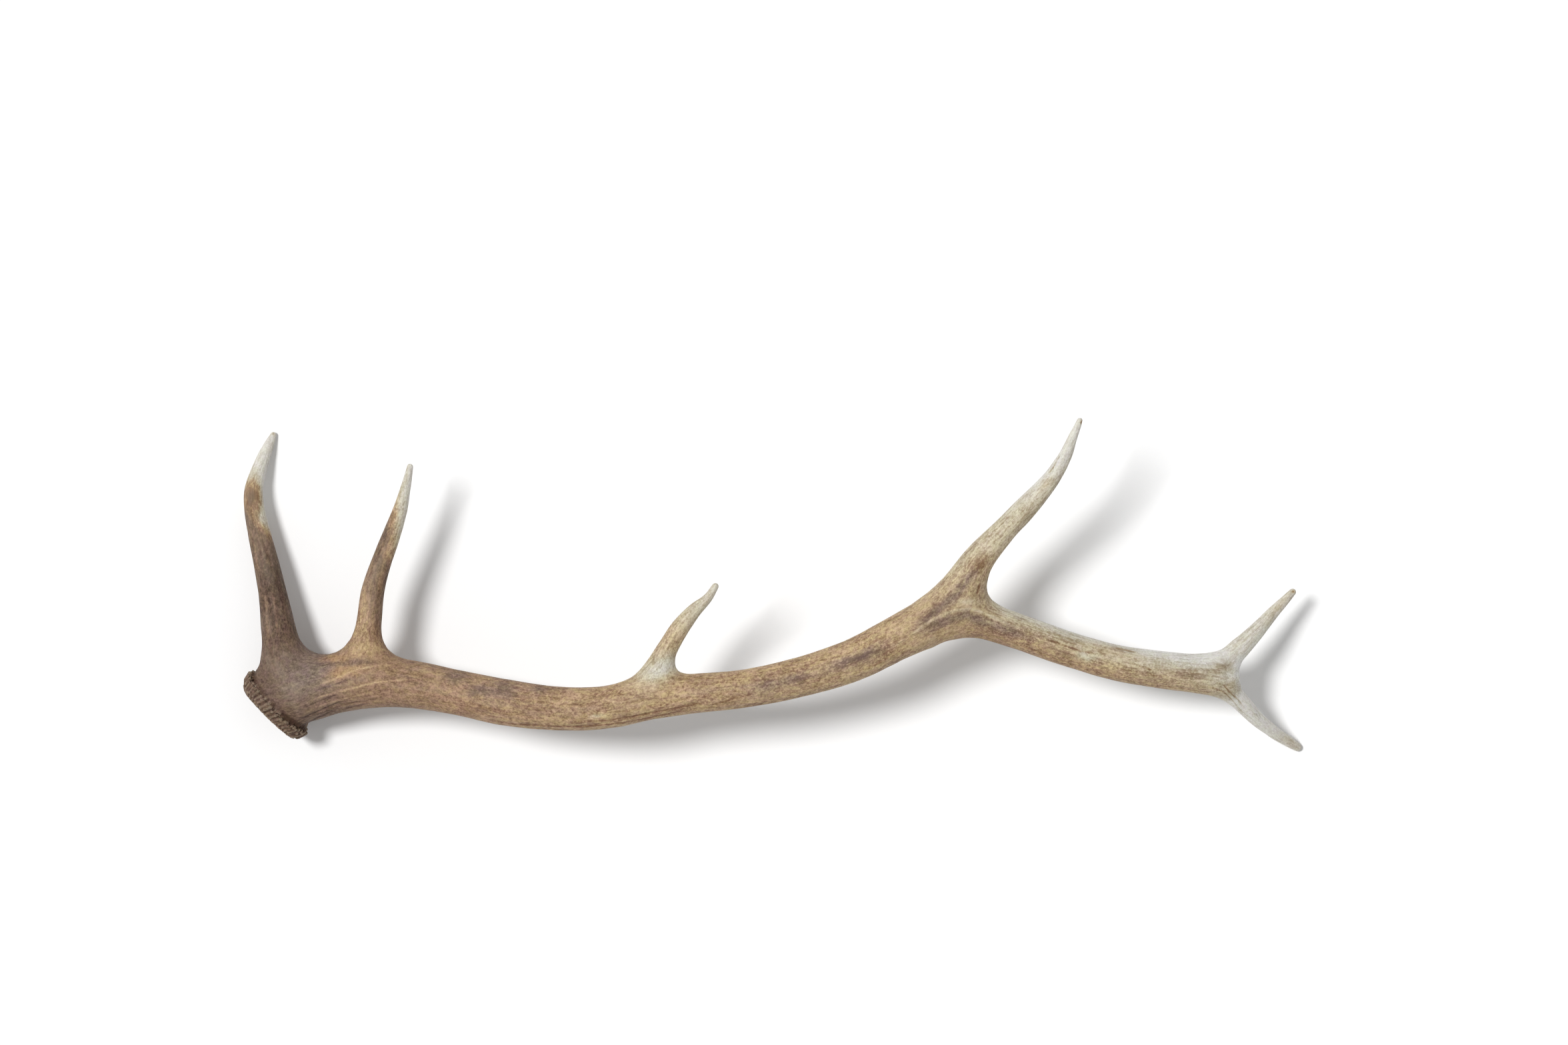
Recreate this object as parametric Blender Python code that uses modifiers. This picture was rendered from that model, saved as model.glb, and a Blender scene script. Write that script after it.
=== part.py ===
"""A shed deer antler with six points, lying with its outer side up.

The antler grew as one piece of bone. Each branch is a centre line with a radius
at every station, the skins of the branches flow into each other at the forks,
and the burr is a ring of folds round the foot of the beam. The whole is parted
at its main forks, so that each branch is an object of its own.
"""

import math

import bmesh
import bpy
import numpy as np
from mathutils import Matrix, Vector

MM = 0.001

# Stations of each branch from root to tip: x, y, z and radius, in millimetres.
BEAM = [
    (-476.5, -107.5, 41.3, 27.5), (-459, -106, 50, 30.3), (-430, -97.8, 62, 28.4), (-390, -95, 75, 25),
    (-351, -97.5, 86, 23.2), (-306, -106, 97, 22.2), (-260, -115, 107, 22), (-214, -120, 116, 21.3),
    (-168, -119.5, 124, 20.7), (-116, -111, 131, 19.5), (-72, -105, 136, 19), (-26, -100, 139, 18.7),
    (25, -89, 140, 19), (77, -73, 139, 20.3), (119, -51, 136, 20), (140, -41.5, 134.2, 16.4),
    (158, -32.5, 132, 17.2), (193, -32, 128, 18.8), (231, -43.5, 122, 17.6), (282, -61.5, 113, 17),
    (334, -76.5, 102, 17.6), (388, -84, 91, 18), (425, -88, 82, 17), (442, -88.5, 78, 13),
]
BROW_TINE = [
    (-466, -93, 52, 13), (-477.3, -74, 49, 18.4), (-484.8, -45, 42, 16.8), (-489, -15, 36, 14.2),
    (-496.5, 17, 31, 12.2), (-504, 50, 27, 11.2), (-508.5, 76, 24, 10), (-509.3, 96, 20, 8.8),
    (-503.5, 116, 14, 7.2), (-497, 132, 8.3, 5.8), (-491.7, 147.5, 3.5, 3.6),
]
BEZ_TINE = [
    (-397, -86, 76, 11), (-396.5, -62, 80, 13.4), (-394, -34, 84, 12), (-390.3, -8, 87, 11.4),
    (-383, 18, 89, 10.2), (-372, 47, 90, 8.7), (-363.6, 70, 92, 7), (-357.2, 96, 96, 5),
    (-352.2, 117, 101.3, 2.8),
]
TREZ_TINE = [
    (-149, -116, 128, 5.8), (-127, -100, 131, 9), (-112, -79, 135, 11), (-100, -56, 139, 9.5),
    (-89.5, -41, 143, 8.6), (-76, -25, 148, 6.9), (-63, -10.5, 153, 4.7), (-54.6, 1, 157, 2.7),
]
ROYAL_TINE = [
    (149, -40, 134.7, 10), (165.5, -22, 136, 16.6), (184.5, 4.5, 139, 17), (200.5, 28, 143, 14.7),
    (221.5, 52, 149, 12.4), (243.3, 74, 156, 11), (265.5, 99.5, 163, 9.2), (281, 122, 169, 7.2),
    (289, 142, 175, 4.9), (295, 158.7, 180, 2.7),
]
UPPER_TERMINAL = [
    (415, -86, 84, 8.4), (439.5, -73.5, 79, 10.5), (454, -62.5, 74, 9.8), (468.6, -47.2, 67, 8.1),
    (483.5, -33, 60, 6.5), (497, -19, 54, 4.9), (508.2, -6.3, 50, 2.9),
]
LOWER_TERMINAL = [
    (413, -91, 84, 8.4), (437, -99.5, 74, 11.5), (455, -114, 61, 9), (470.5, -129.5, 46, 7.5),
    (482.5, -139, 34.5, 6.6), (493, -147.5, 24, 5.8), (505.7, -155, 12.5, 4.7), (516.2, -160.6, 1.8, 3),
]
STEPS = 8  # points of a centre line between two stations

# How widely each tine's skin flows into the branch that it leaves, in millimetres.
TINES = {
    "brow_tine": (BROW_TINE, 30),
    "bez_tine": (BEZ_TINE, 34),
    "trez_tine": (TREZ_TINE, 28),
    "royal_tine": (ROYAL_TINE, 33),
    "upper_terminal_tine": (UPPER_TERMINAL, 14),
    "lower_terminal_tine": (LOWER_TERMINAL, 14),
}

# The burr: an oval ring of folds, whose outer face looks down and away from the beam.
BURR_CENTRE = Vector((-489.9, -120.3, 37.5)) * MM
BURR_HEADING = math.radians(222.5)
BURR_DIP = math.radians(9)
BURR_HALF_LONG = 35.2 * MM
BURR_HALF_HIGH = 29.5 * MM
BURR_RING_RADIUS = 6.5 * MM
BURR_FLOW = 9 * MM
BURR_REACH = 90 * MM  # further than this from its centre, the burr doesn't touch the skin
BURR_CALM = (4 * MM, 12 * MM)  # furrows begin and are full this far from the burr
RING_POINTS = 72
PEARL_COUNT = 30
PEARL_RADIUS = 3.9 * MM
PEARL_SIZES = (0.8, 1.2)  # each pearl's radius, as a share of the one above
PEARL_SEATS = (0.55, 0.8)  # how far out on the ring a pearl sits, as a share of its radius
PEARL_STARTS = (-0.5 * MM, 1.0 * MM)
PEARL_ENDS = (2.0 * MM, 3.2 * MM)
PEARLS_IN = 5 * MM  # at the two ends of the oval the pearls sit this much nearer its axis
FOLD_COUNT = 36
FOLD_RADIUS = 3.1 * MM
FOLD_SIZES = (0.75, 1.3)
FOLD_SEATS = (0.6, 0.85)
FOLD_LENGTH = 8 * MM
FOLD_LENGTHS = (0.75, 1.15)
FOLD_END = -1.5 * MM
FOLD_ROOT_IN = 3 * MM  # the root of a fold lies this much nearer to the burr's axis
FOLD_LEAN = 0.07
UPPER_FOLDS_LONGER = 0.8  # how much longer the folds are on top, under the brow tine
FOLD_FLOW = 1.5 * MM
SEAL_HALF_SIZES = (31 * MM, 26 * MM, 8 * MM)
SEAL_OUT = 2.5 * MM
SEAL_FLOW = 4 * MM
SEAL_FLAT_OUT = 9.8 * MM  # the worn flat in the middle of the seal, from the burr's centre
SEAL_CUTTER = (20 * MM, 60 * MM)  # reach and half width

# Long furrows in the skin of the beam and, shallower, of the tines.
FURROW_DEPTH = 1.5 * MM
FURROW_HALF_WIDTH = 3.0 * MM
FURROW_HALF_LENGTHS = (45 * MM, 110 * MM)
FURROW_DEPTHS = (0.6, 1.0)
FURROW_SWAY = 0.2
FURROW_SWAY_LENGTH = 55 * MM
BEAM_FURROWS = 46
TINE_FURROWS = 9
TINE_FURROW_SHARE = 0.7
TIP_POLISH = 35 * MM  # the furrows fade out this far from a tip
GOLDEN_SHARE = 0.382  # of a turn from one furrow to the next, so that they lie evenly

VOXEL = 2.0 * MM
DRAWS = 6  # rounds in which the skin is drawn onto its true surface
LEAST_SLOPE = 0.3  # keeps a draw short in a crotch, where two skins face each other
CHUNK = 20000
TRIANGLES = 8750
GAP = 0.3 * MM

# Where each branch is parted from the one it leaves: the place along its stations
# (3.5 is halfway from the fourth to the fifth), and the reach and half width of the cutter.
PARTINGS = {
    "brow_tine": (BROW_TINE, 1.6, 260, 60),
    "bez_tine": (BEZ_TINE, 1.35, 220, 58),
    "trez_tine": (TREZ_TINE, 2.6, 130, 30),
    "royal_tine": (ROYAL_TINE, 2.6, 220, 48),
    "upper_beam": (BEAM, 17.6, 400, 150),
    "upper_terminal_tine": (UPPER_TERMINAL, 1.8, 110, 30),
    "lower_terminal_tine": (LOWER_TERMINAL, 1.8, 120, 30),
}
LEAVING = {
    "beam": ("brow_tine", "bez_tine", "trez_tine", "royal_tine", "upper_beam"),
    "upper_beam": ("royal_tine", "upper_terminal_tine", "lower_terminal_tine"),
}

COLOURS = {
    "beam": (0.23, 0.135, 0.07),
    "brow_tine": (0.20, 0.125, 0.075),
    "bez_tine": (0.30, 0.19, 0.10),
    "trez_tine": (0.45, 0.36, 0.23),
    "royal_tine": (0.48, 0.40, 0.28),
    "upper_beam": (0.44, 0.34, 0.21),
    "upper_terminal_tine": (0.52, 0.45, 0.34),
    "lower_terminal_tine": (0.52, 0.45, 0.34),
}
ROUGHNESS = 0.6


def unit(vectors):
    return vectors / np.maximum(np.linalg.norm(vectors, axis=-1, keepdims=True), 1e-12)


def dot(a, b):
    return np.einsum("ij,ij->i", a, b)


def along_stations(stations, place):
    """The point (x, y, z, radius, in metres) at a place along a branch's stations."""
    knots = np.array(stations, float) * MM
    knots = np.vstack([2 * knots[0] - knots[1], knots, 2 * knots[-1] - knots[-2]])
    span = min(int(place), len(stations) - 2)
    a, b, c, d = knots[span:span + 4]
    t = place - span
    bend = (2 * a - 5 * b + 4 * c - d) * t**2 + (3 * b - a - 3 * c + d) * t**3
    return 0.5 * (2 * b + (c - a) * t + bend)


class Branch:
    """A centre line with a radius at each point, and a side vector that never twists."""

    def __init__(self, points):
        self.line = points[:, :3]
        self.radius = points[:, 3]
        steps = np.linalg.norm(np.diff(self.line, axis=0), axis=1)
        self.along = np.concatenate([[0.0], np.cumsum(steps)])
        self.heading = unit(np.gradient(self.line, axis=0))
        side = np.array((0.0, 0.0, 1.0))
        self.side = np.empty_like(self.line)
        for i, heading in enumerate(self.heading):
            side = side - heading * side.dot(heading)
            side /= np.linalg.norm(side)
            self.side[i] = side

    @classmethod
    def through(cls, stations):
        places = np.arange((len(stations) - 1) * STEPS + 1) / STEPS
        return cls(np.array([along_stations(stations, place) for place in places]))


def near(branch, points):
    """Distance to a branch's skin, the way out of it, and the place along and around it."""
    line = branch.line
    closest = np.empty(len(points), int)
    for start in range(0, len(points), CHUNK):
        block = points[start:start + CHUNK]
        closest[start:start + CHUNK] = ((line**2).sum(1) - 2 * block @ line.T).argmin(1)
    last = len(line) - 2
    reach = np.full(len(points), np.inf)
    first = np.zeros(len(points), int)
    share = np.zeros(len(points))
    for begin in (np.clip(closest - 1, 0, last), np.clip(closest, 0, last)):
        step = line[begin + 1] - line[begin]
        at = np.clip(dot(points - line[begin], step) / dot(step, step), 0, 1)
        gap = np.linalg.norm(points - line[begin] - at[:, None] * step, axis=1)
        better = gap < reach
        reach = np.where(better, gap, reach)
        first = np.where(better, begin, first)
        share = np.where(better, at, share)

    def mix(values):
        weight = share.reshape((-1,) + (1,) * (values.ndim - 1))
        return values[first] * (1 - weight) + values[first + 1] * weight

    out = unit(points - mix(line))
    side = mix(branch.side)
    across = np.cross(mix(branch.heading), side)
    around = np.arctan2(dot(out, across), dot(out, side))
    return reach - mix(branch.radius), out, mix(branch.along), around


def flow(first, second, width):
    """Two skins joined with a fillet: the distance, the way out, and the first one's share."""
    share = np.clip(0.5 + 0.5 * (second[0] - first[0]) / width, 0, 1)
    gap = first[0] * share + second[0] * (1 - share) - width * share * (1 - share)
    out = first[1] * share[:, None] + second[1] * (1 - share[:, None])
    return gap, out, share


def burr_axes():
    """Along the burr's long side, up its face, and out of its face."""
    out = np.array((
        math.cos(BURR_HEADING) * math.cos(BURR_DIP),
        math.sin(BURR_HEADING) * math.cos(BURR_DIP),
        -math.sin(BURR_DIP),
    ))
    long = unit(np.cross((0.0, 0.0, 1.0), out))
    return long, np.cross(out, long), out


def burr_point(angle, grow, out_by):
    """A point near the burr's oval: at an angle round it, moved outwards and along its axis."""
    long, up, out = burr_axes()
    return (
        np.array(BURR_CENTRE)
        + long * math.cos(angle) * (BURR_HALF_LONG + grow)
        + up * math.sin(angle) * (BURR_HALF_HIGH + grow)
        + out * out_by
    )


def burr_ring():
    points = []
    for i in range(RING_POINTS + 1):
        point = burr_point(math.tau * i / RING_POINTS, 0.0, 0.0)
        points.append((*point, BURR_RING_RADIUS))
    return Branch(np.array(points))


def burr_folds():
    """The two ends and the radius of each pearl and fold on the burr's ring."""
    chance = np.random.default_rng(11)
    folds = []
    for i in range(PEARL_COUNT):
        angle = math.tau * (i + chance.uniform(-0.2, 0.2)) / PEARL_COUNT
        grow = BURR_RING_RADIUS * chance.uniform(*PEARL_SEATS) - PEARLS_IN * math.cos(angle) ** 2
        start = burr_point(angle, grow, chance.uniform(*PEARL_STARTS))
        end = burr_point(angle, grow, chance.uniform(*PEARL_ENDS))
        folds.append((start, end, PEARL_RADIUS * chance.uniform(*PEARL_SIZES)))
    for i in range(FOLD_COUNT):
        angle = math.tau * (i + chance.uniform(-0.25, 0.25)) / FOLD_COUNT
        grow = BURR_RING_RADIUS * chance.uniform(*FOLD_SEATS)
        longer = 1 + UPPER_FOLDS_LONGER * max(0, -math.cos(angle)) * max(0, math.sin(angle)) * 2
        reach = FOLD_LENGTH * longer * chance.uniform(*FOLD_LENGTHS)
        lean = chance.uniform(-FOLD_LEAN, FOLD_LEAN)
        start = burr_point(angle - lean, grow - FOLD_ROOT_IN * longer, -reach)
        end = burr_point(angle + lean, grow, FOLD_END)
        folds.append((start, end, FOLD_RADIUS * chance.uniform(*FOLD_SIZES)))
    return folds


def near_folds(folds, points):
    gap = np.full(len(points), np.inf)
    out = np.zeros_like(points)
    for start, end, radius in folds:
        step = end - start
        share = np.clip((points - start) @ step / step.dot(step), 0, 1)
        away = points - start - share[:, None] * step
        reach = np.linalg.norm(away, axis=1) - radius
        nearer = reach < gap
        gap = np.where(nearer, reach, gap)
        out = np.where(nearer[:, None], unit(away), out)
    return gap, out


def near_seal(points):
    """Distance to the shallow dome that the antler was shed from."""
    axes = np.array(burr_axes())
    sizes = np.array(SEAL_HALF_SIZES)
    centre = np.array(BURR_CENTRE) + axes[2] * SEAL_OUT
    local = (points - centre) @ axes.T
    reach = np.linalg.norm(local / sizes, axis=1)
    slope = np.linalg.norm(local / sizes**2, axis=1)
    gap = reach * (reach - 1) / np.maximum(slope, 1e-9)
    return gap, unit(local / sizes**2) @ axes


def furrows(branch, count, seed, along, around):
    """Depth from 0 to 1 of the furrows that run along a branch, each for a part of its length."""
    chance = np.random.default_rng(seed)
    length = branch.along[-1]
    girth = branch.radius.mean()
    depth = np.zeros(len(along))
    for i in range(count):
        middle = (i + 0.5) / count * length
        half = chance.uniform(*FURROW_HALF_LENGTHS)
        lie = math.tau * GOLDEN_SHARE * i + chance.uniform(-FURROW_SWAY, FURROW_SWAY)
        lie = lie + FURROW_SWAY * np.sin(along / FURROW_SWAY_LENGTH + i)
        across = (around - lie + math.pi) % math.tau - math.pi
        run = np.clip(2 - 2 * np.abs(along - middle) / half, 0, 1)
        groove = np.exp(-((across * girth / FURROW_HALF_WIDTH) ** 2))
        depth = np.maximum(depth, run * groove * chance.uniform(*FURROW_DEPTHS))
    return depth * np.clip((length - along) / TIP_POLISH, 0, 1)


class Antler:
    """The whole antler's skin, as a distance from any point to it."""

    def __init__(self):
        self.beam = Branch.through(BEAM)
        self.tines = [(Branch.through(stations), width * MM) for stations, width in TINES.values()]
        self.ring = burr_ring()
        self.folds = burr_folds()

    def skin(self, points):
        """Distance, way out, and the depth of the furrows at each point."""
        gap, out, along, around = near(self.beam, points)
        skin = (gap, out)
        depth = furrows(self.beam, BEAM_FURROWS, 1, along, around)
        for seed, (tine, width) in enumerate(self.tines, 2):
            gap, out, along, around = near(tine, points)
            *skin, share = flow(skin, (gap, out), width)
            shallow = furrows(tine, TINE_FURROWS, seed, along, around) * TINE_FURROW_SHARE
            depth = depth * share + shallow * (1 - share)
        close = np.linalg.norm(points - np.array(BURR_CENTRE), axis=1) < BURR_REACH
        burr = flow(near(self.ring, points[close])[:2], near_folds(self.folds, points[close]), FOLD_FLOW)
        foot = flow((skin[0][close], skin[1][close]), burr, BURR_FLOW)
        foot = flow(foot, near_seal(points[close]), SEAL_FLOW)
        skin[0][close] = foot[0]
        skin[1][close] = foot[1]
        plain = np.ones(len(points))
        plain[close] = np.interp(burr[0], BURR_CALM, (0, 1))
        return skin[0], skin[1], depth * plain

    def draw(self, points):
        """Points moved onto the skin."""
        for _ in range(DRAWS):
            gap, out, _ = self.skin(points)
            points = points - out * (gap / np.maximum(dot(out, out), LEAST_SLOPE))[:, None]
        return points


def tubes(antler):
    """Every branch, the ring and the folds as rough tubes, in one mesh object."""
    data = bpy.data.curves.new("tubes", "CURVE")
    data.dimensions = "3D"
    data.bevel_depth = 1.0
    data.bevel_resolution = 4
    data.use_fill_caps = True

    def tube(points, radii, closed=False):
        spline = data.splines.new("POLY")
        spline.points.add(len(points) - 1)
        spline.use_cyclic_u = closed
        for knot, point, radius in zip(spline.points, points, radii):
            knot.co = (*point, 1.0)
            knot.radius = radius

    for branch in [antler.beam] + [tine for tine, _ in antler.tines]:
        tube(branch.line, branch.radius)
    foot = antler.beam.line[0], np.array(BURR_CENTRE)
    tube(foot, [antler.beam.radius[0], BURR_HALF_LONG - BURR_RING_RADIUS])
    tube(antler.ring.line[:-1], antler.ring.radius[:-1], closed=True)
    for start, end, radius in antler.folds:
        reach = (end - start) / np.linalg.norm(end - start) * radius
        tube([start - reach * 0.7, end + reach * 0.7], [radius, radius])
    curve = bpy.data.objects.new("tubes", data)
    bpy.context.scene.collection.objects.link(curve)
    bpy.context.view_layer.update()
    mesh = bpy.data.meshes.new_from_object(curve.evaluated_get(bpy.context.evaluated_depsgraph_get()))
    bpy.data.objects.remove(curve)
    dome = bmesh.new()
    dome.from_mesh(mesh)
    bmesh.ops.remove_doubles(dome, verts=dome.verts, dist=0.00002)
    long, up, out = (Vector(axis) for axis in burr_axes())
    turn = Matrix((long, up, out)).transposed().to_4x4()
    sizes = Matrix.Diagonal((BURR_HALF_LONG, BURR_HALF_HIGH, SEAL_FLAT_OUT, 1))
    place = Matrix.Translation(BURR_CENTRE) @ turn @ sizes
    bmesh.ops.create_uvsphere(dome, u_segments=24, v_segments=12, radius=1.0, matrix=place)
    dome.to_mesh(mesh)
    dome.free()
    return mesh


def evaluated(mesh, kind, **settings):
    """A mesh after one modifier."""
    holder = bpy.data.objects.new("holder", mesh)
    bpy.context.scene.collection.objects.link(holder)
    modifier = holder.modifiers.new("step", kind)
    for name, value in settings.items():
        setattr(modifier, name, value)
    bpy.context.view_layer.update()
    made = bpy.data.meshes.new_from_object(holder.evaluated_get(bpy.context.evaluated_depsgraph_get()))
    bpy.data.objects.remove(holder)
    return made


def points_of(mesh):
    points = np.empty(len(mesh.vertices) * 3)
    mesh.vertices.foreach_get("co", points)
    return points.reshape(-1, 3)


def keep_largest(mesh):
    """Removes the small closed crumbs that can form where two rough tubes pinch."""
    body = bmesh.new()
    body.from_mesh(mesh)
    left = set(body.verts)
    islands = []
    while left:
        island = {left.pop()}
        edge = set(island)
        while edge:
            edge = {link.other_vert(vert) for vert in edge for link in vert.link_edges} - island
            island |= edge
        left -= island
        islands.append(island)
    islands.sort(key=len)
    crumbs = [vert for island in islands[:-1] for vert in island]
    bmesh.ops.delete(body, geom=crumbs, context="VERTS")
    body.to_mesh(mesh)
    body.free()


def whole_antler():
    """The antler as one closed mesh with its furrows, before it is parted."""
    antler = Antler()
    mesh = tubes(antler)
    for _ in range(2):
        mesh = evaluated(mesh, "REMESH", mode="VOXEL", voxel_size=VOXEL)
        keep_largest(mesh)
        points = antler.draw(points_of(mesh))
        mesh.vertices.foreach_set("co", points.ravel())
    gap, out, depth = antler.skin(points)
    points = points - unit(out) * (depth * FURROW_DEPTH)[:, None]
    mesh.vertices.foreach_set("co", points.ravel())
    triangles = sum(len(face.vertices) - 2 for face in mesh.polygons)
    return evaluated(mesh, "DECIMATE", ratio=TRIANGLES / triangles, use_collapse_triangulate=True)


def box(name, base, heading, reach, half_width, collection):
    """A box that starts at a point, runs along a heading and cuts or keeps what it holds."""
    bpy.ops.mesh.primitive_cube_add(size=1)
    made = bpy.context.object
    made.name = name
    turn = Vector(heading).to_track_quat("Z", "Y").to_matrix().to_4x4()
    middle = Vector(base) + Vector(heading) * reach / 2
    scale = Matrix.Diagonal((half_width * 2, half_width * 2, reach, 1))
    made.matrix_world = Matrix.Translation(middle) @ turn @ scale
    made.hide_render = True
    made.display_type = "WIRE"
    for holder in list(made.users_collection):
        holder.objects.unlink(made)
    collection.objects.link(made)
    return made


def finish(name):
    material = bpy.data.materials.new(name)
    material.use_nodes = True
    shader = material.node_tree.nodes["Principled BSDF"]
    shader.inputs["Base Color"].default_value = (*COLOURS[name], 1)
    shader.inputs["Roughness"].default_value = ROUGHNESS
    shader.inputs["Metallic"].default_value = 0.0
    return material


def add_boolean(piece, cutter, operation):
    modifier = piece.modifiers.new(cutter.name, "BOOLEAN")
    modifier.operation = operation
    modifier.solver = "EXACT"
    modifier.object = cutter


def main():
    for old in list(bpy.data.objects):
        bpy.data.objects.remove(old)
    parts = bpy.data.collections.new("deer_antler")
    cutters = bpy.data.collections.new("cutters")
    bpy.context.scene.collection.children.link(parts)
    bpy.context.scene.collection.children.link(cutters)

    keep, clear = {}, {}
    for name, (stations, place, reach, half_width) in PARTINGS.items():
        base = along_stations(stations, place)[:3]
        ahead = along_stations(stations, place + 0.05)[:3]
        heading = unit(ahead - base)
        sizes = (reach * MM, half_width * MM)
        keep[name] = box(name + "_keep", base, heading, *sizes, cutters)
        clear[name] = box(name + "_clear", base - heading * GAP, heading, *sizes, cutters)
    out = burr_axes()[2]
    flat = np.array(BURR_CENTRE) + out * SEAL_FLAT_OUT
    seal_cutter = box("seal_flat", flat, out, *SEAL_CUTTER, cutters)

    whole = whole_antler()
    for name in ["beam", *PARTINGS]:
        mesh = whole.copy()
        mesh.shade_smooth()
        mesh.materials.clear()
        mesh.materials.append(finish(name))
        piece = bpy.data.objects.new(name, mesh)
        parts.objects.link(piece)
        if name in keep:
            add_boolean(piece, keep[name], "INTERSECT")
        for branch in LEAVING.get(name, ()):
            add_boolean(piece, clear[branch], "DIFFERENCE")
        if name == "beam":
            add_boolean(piece, seal_cutter, "DIFFERENCE")
    bpy.data.meshes.remove(whole)


main()
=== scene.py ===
# %% [markdown]
# # A shed deer antler
#
# A stag grows a new pair of antlers every year and drops them in spring. This one has six
# points: two tines close above the burr, one halfway, a long one at the royal fork and two
# at the crown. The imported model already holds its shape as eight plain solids. This lesson
# grows the real skin over them: one sheet of bone with its furrows, its pearly burr and its
# stains, from dark brown at the foot to bare ivory at the tips.

# %% Load the frame
import math
from collections import namedtuple

import bmesh
import bpy
import numpy as np
from mathutils import Matrix, Vector, noise


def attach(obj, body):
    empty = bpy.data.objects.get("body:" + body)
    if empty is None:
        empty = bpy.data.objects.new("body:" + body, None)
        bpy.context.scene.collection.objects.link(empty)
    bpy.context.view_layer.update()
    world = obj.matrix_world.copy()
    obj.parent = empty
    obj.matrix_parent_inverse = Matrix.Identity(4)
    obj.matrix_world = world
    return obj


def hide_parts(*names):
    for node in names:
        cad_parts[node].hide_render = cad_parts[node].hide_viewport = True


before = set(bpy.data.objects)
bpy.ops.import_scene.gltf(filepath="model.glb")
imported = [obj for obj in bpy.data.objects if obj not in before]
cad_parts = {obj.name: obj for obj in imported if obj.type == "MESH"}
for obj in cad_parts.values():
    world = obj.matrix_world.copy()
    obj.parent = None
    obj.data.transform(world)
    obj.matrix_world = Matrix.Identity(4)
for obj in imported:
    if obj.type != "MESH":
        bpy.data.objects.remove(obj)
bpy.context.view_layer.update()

MM = 0.001

# %% [markdown]
# ## Camera
#
# The antler lies flat and the photograph looks straight down on it from far away, so hardly
# any perspective shows. A long lens eight and a half metres up does the same. It stands over
# the middle of the picture, which isn't the middle of the antler.

# %% Camera
PHOTO_SIZE = (2352, 1568)
PIXEL = 0.65 * MM  # what one pixel covers, at the height of the middle of the antler
MIDDLE_HEIGHT = 70 * MM
ORIGIN_PIXEL = (1160.5, 877)  # where the model's origin shows
LENS = 200
SENSOR = 36


def placed(name, data):
    """A new object in the scene."""
    made = bpy.data.objects.new(name, data)
    bpy.context.scene.collection.objects.link(made)
    return made


camera = placed("camera", bpy.data.cameras.new("camera"))
bpy.context.scene.camera = camera
camera.data.lens = LENS
camera.data.sensor_width = SENSOR
distance = PHOTO_SIZE[0] * PIXEL * LENS / SENSOR
camera.location = (
    (PHOTO_SIZE[0] / 2 - ORIGIN_PIXEL[0]) * PIXEL,
    (ORIGIN_PIXEL[1] - PHOTO_SIZE[1] / 2) * PIXEL,
    MIDDLE_HEIGHT + distance,
)
camera.data.clip_start = distance / 100
camera.data.clip_end = distance * 10
print("the camera looks down from", round(camera.location.z, 3), "m")

# %% [markdown]
# ## Floor
#
# The antler lies on plain white paper. A very large matt sheet fills the view from every side,
# so no edge of it shows.

# %% Floor
FLOOR_SIZE = 60  # metres
FLOOR_COLOUR = (0.91, 0.91, 0.91, 1)

bpy.ops.mesh.primitive_plane_add(size=FLOOR_SIZE)
floor = bpy.context.object
floor.name = "paper"
paper = bpy.data.materials.new("paper")
paper.use_nodes = True
matt = paper.node_tree.nodes["Principled BSDF"].inputs
matt["Base Color"].default_value = FLOOR_COLOUR
matt["Roughness"].default_value = 1.0
matt["Specular IOR Level"].default_value = 0.0
floor.data.materials.append(paper)
print("the floor is", FLOOR_SIZE, "m wide")

# %% [markdown]
# ## Light
#
# The photograph is lit softly from all round, and one broad lamp up to the left throws a
# soft grey shadow to the lower right. An even white world gives the first, and a sun the
# second: the wider its disc, the softer the shadow's edge.

# %% Light
SKY_STRENGTH = 0.45
SUN_STRENGTH = 2.45
SUN_DISC = math.radians(13)
SUN_TRAVEL = Vector((49, -19.5, -110))  # the way its light goes

world = bpy.data.worlds.new("studio")
world.use_nodes = True
sky = world.node_tree.nodes["Background"].inputs
sky["Color"].default_value = (1, 1, 1, 1)
sky["Strength"].default_value = SKY_STRENGTH
bpy.context.scene.world = world
bpy.context.scene.view_settings.view_transform = "Standard"

lamp = placed("broad_lamp", bpy.data.lights.new("broad_lamp", "SUN"))
lamp.data.energy = SUN_STRENGTH
lamp.data.angle = SUN_DISC
lamp.rotation_mode = "QUATERNION"
lamp.rotation_quaternion = SUN_TRAVEL.to_track_quat("-Z", "Y")
print("the lamp stands", round(math.degrees(SUN_TRAVEL.angle((0, 0, -1))), 1), "degrees off the vertical")

# %% [markdown]
# ## The branches
#
# An antler grows at its tips, so each branch is best described as it grew: a line through
# space that gets thinner. A few stations are enough, each with its place and its radius. A
# Bezier curve with a bevel would look the same, but it can't say how far a point is from it,
# and both the skin and the grain need to know that.

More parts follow.
